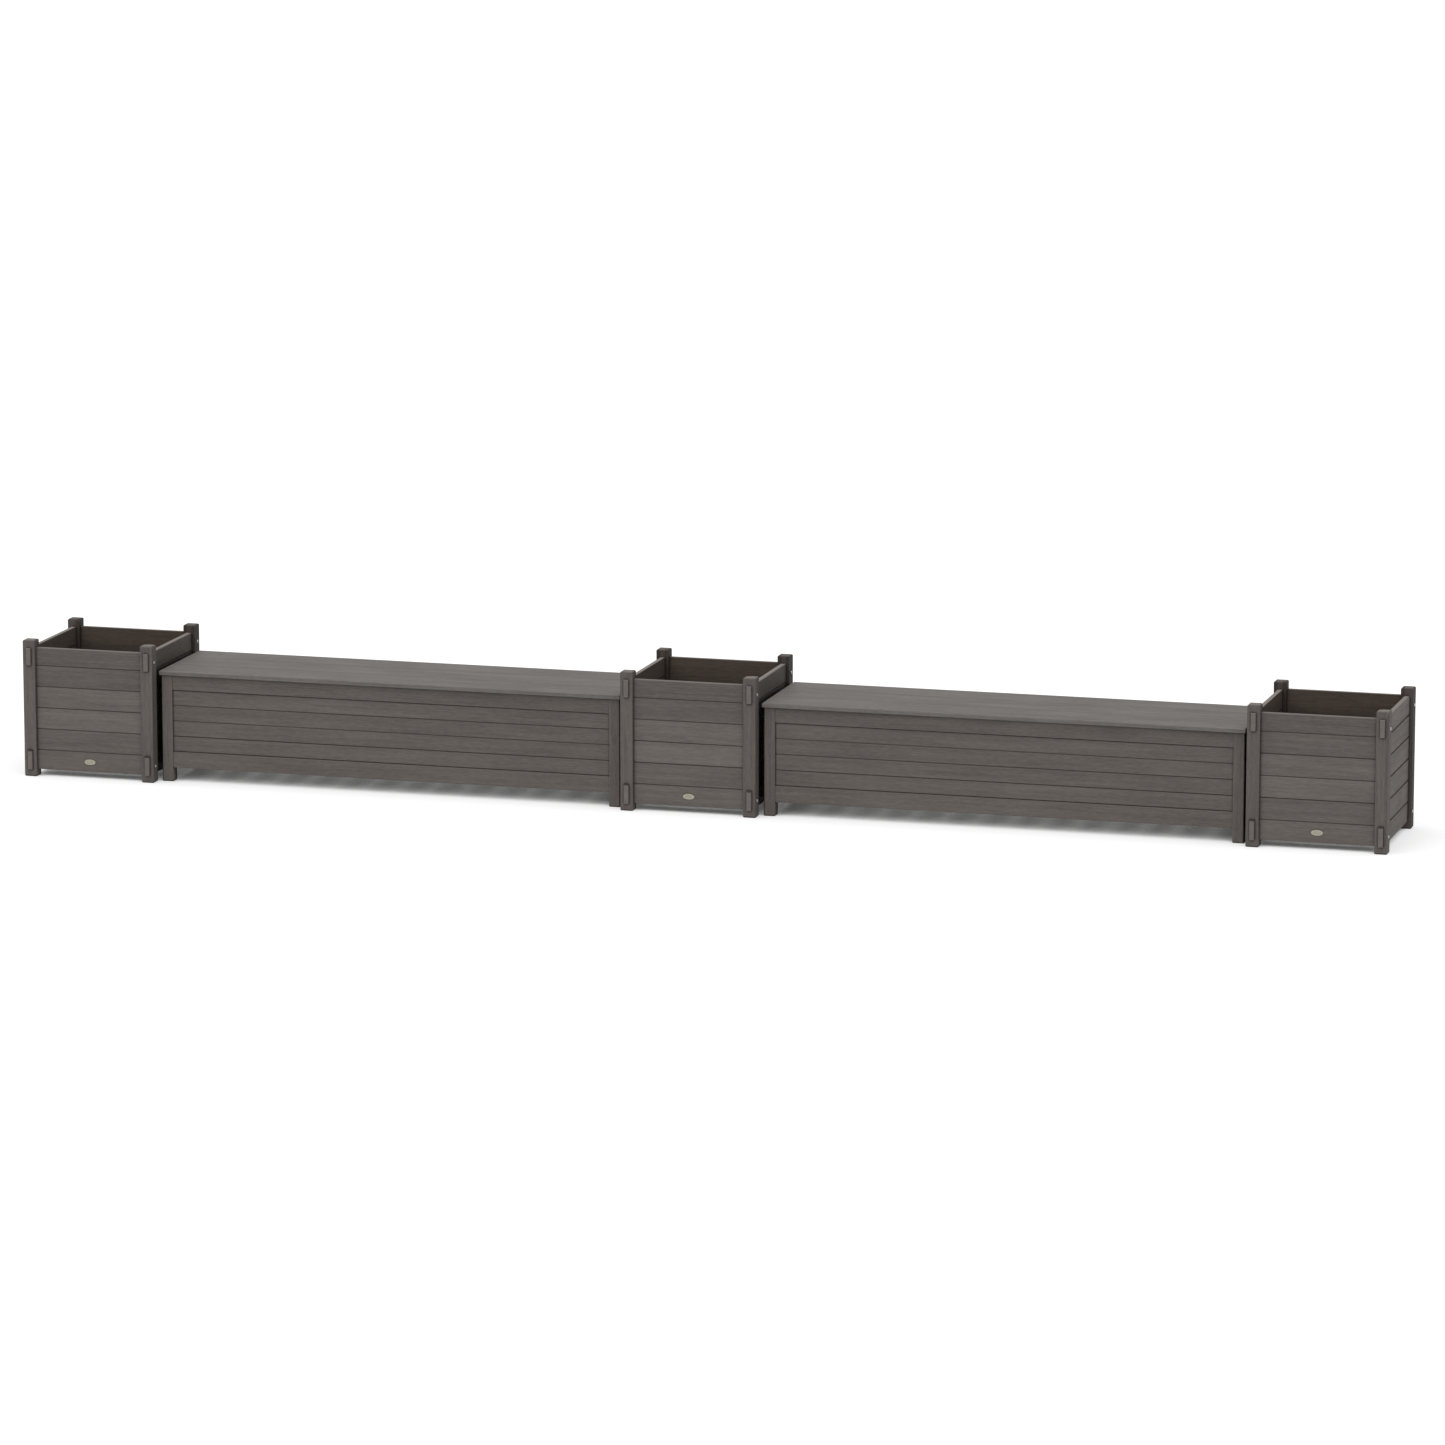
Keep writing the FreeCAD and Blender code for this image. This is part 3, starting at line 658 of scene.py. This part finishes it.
def pale_brass(name, colour):
    """Satin brass, brushed lengthwise, with a darker blank field inside a pale rim."""
    graph = Graph(name)
    brushing = graph.noise(graph.scaled_place(*BRUSHING), seed=5.0)
    patina = graph.noise(graph.scaled_place(*PATINA), seed=9.0)
    metal = shaded(graph, graph.remap(patina, *PATINA_RANGE, 0.0, 1.0), colour, PATINA_SHADES)
    x, _, z = graph.split(graph.place())
    wide = graph.power(graph.divide(graph.from_planter(x), PLATE_WIDTH / 2), 2.0)
    tall = graph.power(graph.divide(graph.subtract(z, PLATE_LEVEL), PLATE_HEIGHT / 2), 2.0)
    from_middle = graph.math("SQRT", graph.add(wide, tall))
    field = graph.remap(from_middle, *FIELD_EDGE, FIELD_DARK, 0.0)
    metal = graph.mix(field, metal, shade(colour, FIELD_SHADE))
    rubbed = graph.times(graph.edges(RIM_REACH), RIM_WEAR)
    metal = graph.mix(rubbed, metal, shade(colour, RIM_SHADE))
    return graph.finish(Base_Color=metal, Metallic=0.85,
                        Roughness=graph.remap(brushing, *NOISE_RANGE, *BRUSH_ROUGHNESS),
                        Normal=graph.bump(brushing, BRUSH_HEIGHT))


def pale_floor(name, settings):
    """A plain pale floor with a barely uneven sheen that glows, with a painted shadow where furniture
    covers it.
    """
    graph = Graph(name)
    sheen = graph.noise(graph.place(), seed=1.0, detail=2.0, roughness=0.5)
    glow = graph.remap(graph.openness(settings.glow_reach, samples=8), *GLOW_RANGE,
                       GLOW_IN_PAINTED_SHADOW * settings.floor_glow, settings.floor_glow)
    return graph.finish(Base_Color=tuple(settings.floor_colour), Specular_IOR_Level=0.2,
                        Roughness=graph.remap(sheen, *NOISE_RANGE, *FLOOR_ROUGHNESS),
                        Emission_Color=(1.0, 1.0, 1.0), Emission_Strength=glow)


# Dressing of carried-over pieces

SAME_POINT = 0.00001        # points nearer to each other than this are one, in metres
FLAT_ANGLE = math.radians(1)    # faces that meet flatter than this are joined
EDGE_ANGLE = math.radians(35)   # edges sharper than this are rounded
EDGE_SEGMENTS = 2
SLAT_EDGES = 0.6            # slats' rounding as a share of the rails'


def clean_edges(piece, radius):
    """Joins the imported faces and, where a radius is given, rounds the sharp edges."""
    weld = piece.modifiers.new("Weld", "WELD")
    weld.merge_threshold = SAME_POINT
    flat = piece.modifiers.new("Faces", "DECIMATE")
    flat.decimate_type = "DISSOLVE"
    flat.angle_limit = FLAT_ANGLE
    if radius:
        bevel = piece.modifiers.new("Edges", "BEVEL")
        bevel.width = radius
        bevel.segments = EDGE_SEGMENTS
        bevel.limit_method = "ANGLE"
        bevel.angle_limit = EDGE_ANGLE


def smooth(mesh):
    """Smooth shading on every face."""
    for polygon in mesh.polygons:
        polygon.use_smooth = True


def shade_faces(piece):
    """Smooth shading within each imported face, sharp where two of them meet."""
    mesh = piece.data
    uses = Counter(key for polygon in mesh.polygons for key in polygon.edge_keys)
    for edge in mesh.edges:
        edge.use_edge_sharp = uses[edge.key] < 2
    smooth(mesh)


def dress(name, material, radius=None):
    """Gives a carried-over piece its finish and, where a radius is given, its rounded edges."""
    piece = NODES[name]
    piece.data.materials.clear()
    piece.data.materials.append(material)
    if radius is None:
        shade_faces(piece)
    else:
        clean_edges(piece, radius)
    return piece


# Screws

SHANK_SHARE = 0.3           # radius that a screw's shank keeps within, as a share of its head's width
HEAD_POINTS = 30            # points round a domed head
HEAD_RIM = 0.18             # upright part of a head's height
DOME_RINGS = 5
DOME_END = math.radians(75)     # how far up the dome's curve its last ring lies
DOME_CROWN = 0.42           # share of a head's radius that the dome's curve leaves flat
SOCKET_RINGS = ((1.12, 1.0), (1.0, 0.93), (1.0, 0.5), (0.4, 0.42))  # share of width, share of height
SCREW_TWIST = (37.0, 91.0, 53.0)    # turns each screw by its place, in radians to the metre
SHARP_ANGLE = math.radians(30)  # a head's edges sharper than this stay sharp


def islands(mesh):
    """Corner points of each separate piece of a mesh, joined where they touch."""
    shape = bmesh.new()
    shape.from_mesh(mesh)
    bmesh.ops.remove_doubles(shape, verts=shape.verts, dist=SAME_POINT)
    seen = set()
    found = []
    for start in shape.verts:
        if start in seen:
            continue
        seen.add(start)
        reached = [start]
        for vertex in reached:
            for edge in vertex.link_edges:
                other = edge.other_vert(vertex)
                if other not in seen:
                    seen.add(other)
                    reached.append(other)
        found.append([vertex.co.copy() for vertex in reached])
    shape.free()
    return found


def box_corners(points):
    """Lowest and highest corner of the box round some points."""
    return (Vector([pick(point[n] for point in points) for n in range(3)]) for pick in (min, max))


def screw_places():
    """Where each planter screw's head meets its post, and to which side it looks."""
    places = []
    for points in islands(NODES["planter_screws"].data):
        low, high = box_corners(points)
        middle = Vector([(first + last) / 2 for first, last in zip(low, high)])
        shank = SHANK_SHARE * (high.z - low.z)
        in_head = [point.x for point in points if abs(point.z - middle.z) > shank]
        outward = 1 if sum(in_head) / len(in_head) > middle.x else -1
        seat = min(in_head) if outward > 0 else max(in_head)
        places.append((Vector((seat, middle.y, middle.z)), outward))
    return sorted(places, key=lambda found: tuple(round(part, 4) for part in found[0]))


def domed_head(shape, place, radius, height, socket):
    """Adds a round domed head with a six-sided key socket, its seat at the place's origin."""
    turns = [2 * math.pi * n / HEAD_POINTS for n in range(HEAD_POINTS)]

    def ring(reaches, level):
        return [shape.verts.new(place @ Vector((reach * math.cos(turn), reach * math.sin(turn), level)))
                for turn, reach in zip(turns, reaches)]

    def circle(reach, level):
        return ring([reach] * HEAD_POINTS, level)

    def hexagon(width, level):
        off_flat = ((turn + math.pi / 6) % (math.pi / 3) - math.pi / 6 for turn in turns)
        return ring([width / 2 / math.cos(off) for off in off_flat], level)

    rim = HEAD_RIM * height
    rings = [circle(radius, 0), circle(radius, rim)]
    for n in range(1, DOME_RINGS + 1):
        angle = DOME_END * n / DOME_RINGS
        reach = radius * (DOME_CROWN + (1 - DOME_CROWN) * math.cos(angle))
        rings.append(circle(reach, rim + (height - rim) * math.sin(angle) / math.sin(DOME_END)))
    rings += [hexagon(wide * socket, tall * height) for wide, tall in SOCKET_RINGS]
    for lower, upper in zip(rings, rings[1:]):
        for n in range(HEAD_POINTS):
            m = (n + 1) % HEAD_POINTS
            shape.faces.new((lower[n], lower[m], upper[m], upper[n]))
    shape.faces.new(rings[-1])
    shape.faces.new(list(reversed(rings[0])))


def finished_piece(context, name, shape, material):
    """Turns a finished shape into a piece with smooth shading."""
    mesh = bpy.data.meshes.new(name)
    shape.to_mesh(mesh)
    shape.free()
    mesh.materials.append(material)
    smooth(mesh)
    mesh.set_sharp_from_angle(angle=SHARP_ANGLE)
    piece = bpy.data.objects.new(name, mesh)
    context.collection.objects.link(piece)
    return piece


# Operators

class PLANTERBENCH_OT_planters(bpy.types.Operator):
    """Finish the planters' posts, rails, slats and floors"""
    bl_idname = "planter_bench.planters"
    bl_label = "Finish the planters"

    def execute(self, context):
        settings = context.scene.planter_bench_timber
        colour = settings.planter_colour
        posts = stained_timber("planter_post_grain_z", shade(colour, POST_SHADE), "Z", settings,
                               end_grain=0.9, tones=POST_TONES)
        side = stained_timber("planter_side_grain_y", shade(colour, SIDE_SHADE), "Y", settings,
                              end_grain=0.1, grooves=True)
        front = stained_timber("planter_front_grain_x", colour, "X", settings, tones=PLANTER_TONES)
        inside = timber_set("planter_floor_timber", settings.hidden_colour, "XY", settings,
                            roughness=0.75, walls=False)
        radius = settings.edge_radius
        for name in PLANTERS:
            dress(f"{name}_planter_posts", posts, radius)
            for wall in ("front", "rear"):
                dress(f"{name}_planter_{wall}_rails", front, radius)
                dress(f"{name}_planter_{wall}_slats", front, SLAT_EDGES * radius)
            dress(f"{name}_planter_side_rails", side, radius)
            dress(f"{name}_planter_side_slats", side, SLAT_EDGES * radius)
            dress(f"{name}_planter_floor_slats", inside["X"], radius)
        dress("planter_floor_bearers", inside["Y"], radius)
        return {"FINISHED"}


class PLANTERBENCH_OT_carcasses(bpy.types.Operator):
    """Finish the benches' posts, rails, slats and floors"""
    bl_idname = "planter_bench.carcasses"
    bl_label = "Finish the bench carcasses"

    def execute(self, context):
        settings = context.scene.planter_bench_timber
        outside = timber_set("bench_timber", settings.bench_colour, "XYZ", settings)
        inside = timber_set("bench_inner_timber", settings.hidden_colour, "XY", settings,
                            roughness=0.75, walls=False)
        radius = settings.edge_radius
        for name in BENCHES:
            dress(f"{name}_bench_posts", outside["Z"], radius)
            for side in ("front", "rear"):
                dress(f"{name}_bench_{side}_rails", outside["X"], radius)
                dress(f"{name}_bench_{side}_slats", outside["X"], SLAT_EDGES * radius)
            dress(f"{name}_bench_end_rails", outside["Y"], radius)
            dress(f"{name}_bench_end_slats", outside["Y"], SLAT_EDGES * radius)
            dress(f"{name}_bench_cross_rail", inside["Y"], radius)
            dress(f"{name}_bench_floor_slats", inside["Y"], radius)
        dress("bench_floor_bearers", inside["X"], radius)
        dress("packing_blocks", outside["Y"], radius)
        return {"FINISHED"}


class PLANTERBENCH_OT_seats(bpy.types.Operator):
    """Finish the lids' boards and battens"""
    bl_idname = "planter_bench.seats"
    bl_label = "Finish the seats"

    def execute(self, context):
        settings = context.scene.planter_bench_timber
        seat = stained_timber("seat_timber_grain_x", settings.seat_colour, "X", settings, roughness=0.55,
                              gloss=0.3, contrast=0.3, crevice_shade=0.35, walls=False, seams=True)
        batten = stained_timber("batten_timber_grain_y", settings.hidden_colour, "Y", settings,
                                walls=False)
        for name in BENCHES:
            boards = dress(f"{name}_lid_boards", seat)
            clean_edges(boards, None)
            dress(f"{name}_lid_battens", batten, settings.edge_radius)
        return {"FINISHED"}


class PLANTERBENCH_OT_metalwork(bpy.types.Operator):
    """Finish the screws, the hinges and the oval plates"""
    bl_idname = "planter_bench.metalwork"
    bl_label = "Finish the metalwork"

    def execute(self, context):
        settings = context.scene.planter_bench_metal
        bright = zinc("bright_zinc", settings.screw_colour)
        steel = zinc("hinge_steel", settings.hinge_colour, roughness=0.42)
        brass = pale_brass("pale_brass", settings.plate_colour)
        self.domed_screws(context, settings, bright)
        for bench in BENCHES:
            dress(f"{bench}_lid_hinge_leaves", steel)
            dress(f"{bench}_frame_hinge_leaves", steel)
            self.hinge_screws(context, settings, bench, bright)
        dress("hinge_pins", steel)
        dress("oval_plates", brass)
        return {"FINISHED"}

    def domed_screws(self, context, settings, material):
        """Puts round domed heads in place of the flat-sided ones."""
        shape = bmesh.new()
        for place, outward in screw_places():
            lean = Matrix.Rotation(outward * math.pi / 2, 4, "Y")
            twist = Matrix.Rotation(place.dot(SCREW_TWIST), 4, "Z")
            domed_head(shape, Matrix.Translation(place) @ lean @ twist, settings.head_radius,
                       settings.head_height, settings.socket_width)
        heads = finished_piece(context, "planter_screw_heads", shape, material)
        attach(heads, "frame")
        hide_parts("planter_screws")

    def hinge_screws(self, context, settings, bench, material):
        """Puts three screws in each leaf, raised on the frame's leaves and nearly flush on the lid's."""
        radius = settings.hinge_screw_radius
        spread = settings.hinge_screw_spread
        for side, body in (("frame", "frame"), ("lid", f"{bench}_lid")):
            shape = bmesh.new()
            for points in islands(NODES[f"{bench}_{side}_hinge_leaves"].data):
                low, high = box_corners(points)
                middle = (low.x + high.x) / 2
                if side == "frame":
                    back, level = low.y + LEAF_THICKNESS, low.z + LEAF_WIDTH / 2
                    lean, rise = -math.pi / 2, settings.frame_head_rise
                else:
                    back, level = low.y + LEAF_WIDTH / 2, LID_UNDERSIDE
                    lean, rise = math.pi, settings.lid_head_rise
                for along in (middle - spread, middle, middle + spread):
                    place = Matrix.Translation((along, back, level)) @ Matrix.Rotation(lean, 4, "X")
                    domed_head(shape, place, radius, rise, radius)
            heads = finished_piece(context, f"{bench}_{side}_hinge_screws", shape, material)
            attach(heads, body)


CAMERA_REACH = 400          # how far the camera sees, in metres


class PLANTERBENCH_OT_studio(bpy.types.Operator):
    """Set the floor, the soft light and the camera"""
    bl_idname = "planter_bench.studio"
    bl_label = "Set the studio"

    def execute(self, context):
        settings = context.scene.planter_bench_studio
        self.floor(context, settings)
        self.light(context, settings)
        self.camera(context, settings)
        return {"FINISHED"}

    def floor(self, context, settings):
        """A plain level floor."""
        half = settings.floor_size / 2
        mesh = bpy.data.meshes.new("studio_floor")
        outline = [(-half, -half, 0), (half, -half, 0), (half, half, 0), (-half, half, 0)]
        mesh.from_pydata(outline, [], [(0, 1, 2, 3)])
        mesh.materials.append(pale_floor("pale_floor", settings))
        floor = bpy.data.objects.new("studio_floor", mesh)
        context.collection.objects.link(floor)

    def light(self, context, settings):
        """Even light from all round and one broad soft light overhead."""
        world = bpy.data.worlds.new("studio_sky")
        context.scene.world = world
        world.use_nodes = True
        sky = world.node_tree.nodes["Background"]
        sky.inputs["Color"].default_value = (1, 1, 1, 1)
        sky.inputs["Strength"].default_value = settings.sky_strength
        data = bpy.data.lights.new("key_light", "SUN")
        data.energy = settings.key_strength
        data.angle = settings.key_spread
        lamp = bpy.data.objects.new("key_light", data)
        lamp.rotation_euler = (settings.key_tilt, 0, 0)
        context.collection.objects.link(lamp)

    def camera(self, context, settings):
        """A camera in front of the row, turned to the right and looking down a little."""
        data = bpy.data.cameras.new("camera")
        data.lens = settings.camera_lens
        data.sensor_width = settings.camera_frame
        data.clip_end = CAMERA_REACH
        camera = bpy.data.objects.new("camera", data)
        context.collection.objects.link(camera)
        turn = Matrix.Rotation(settings.camera_turn, 4, "Z")
        tilt = Matrix.Rotation(math.pi / 2 - settings.camera_rise, 4, "X")
        target = Matrix.Translation(settings.camera_target)
        camera.matrix_world = target @ turn @ tilt @ Matrix.Translation((0, 0, settings.camera_distance))
        context.scene.camera = camera
        context.scene.view_settings.view_transform = "Standard"
        context.scene.view_settings.look = "None"


class PLANTERBENCH_PT_panel(bpy.types.Panel):
    """Lists the steps that finish the bench"""
    bl_label = "Planter bench"
    bl_idname = "PLANTERBENCH_PT_panel"
    bl_space_type = "VIEW_3D"
    bl_region_type = "UI"
    bl_category = "Planter bench"

    def draw(self, context):
        for step in STEPS:
            self.layout.operator(step.bl_idname)
        for group in SETTINGS:
            settings = getattr(context.scene, group)
            box = self.layout.box()
            for name in settings.__annotations__:
                box.prop(settings, name)


STEPS = (PLANTERBENCH_OT_planters, PLANTERBENCH_OT_carcasses, PLANTERBENCH_OT_seats,
         PLANTERBENCH_OT_metalwork, PLANTERBENCH_OT_studio)
SETTINGS = {"planter_bench_timber": TimberSettings, "planter_bench_metal": MetalSettings,
            "planter_bench_studio": StudioSettings}
CLASSES = (*SETTINGS.values(), *STEPS, PLANTERBENCH_PT_panel)


def register():
    for kind in CLASSES:
        bpy.utils.register_class(kind)
    for name, group in SETTINGS.items():
        setattr(bpy.types.Scene, name, PointerProperty(type=group))


def unregister():
    for name in SETTINGS:
        delattr(bpy.types.Scene, name)
    for kind in reversed(CLASSES):
        bpy.utils.unregister_class(kind)


def main():
    register()
    for step in STEPS:
        family, action = step.bl_idname.split(".")
        getattr(getattr(bpy.ops, family), action)()


if __name__ == "__main__":
    main()
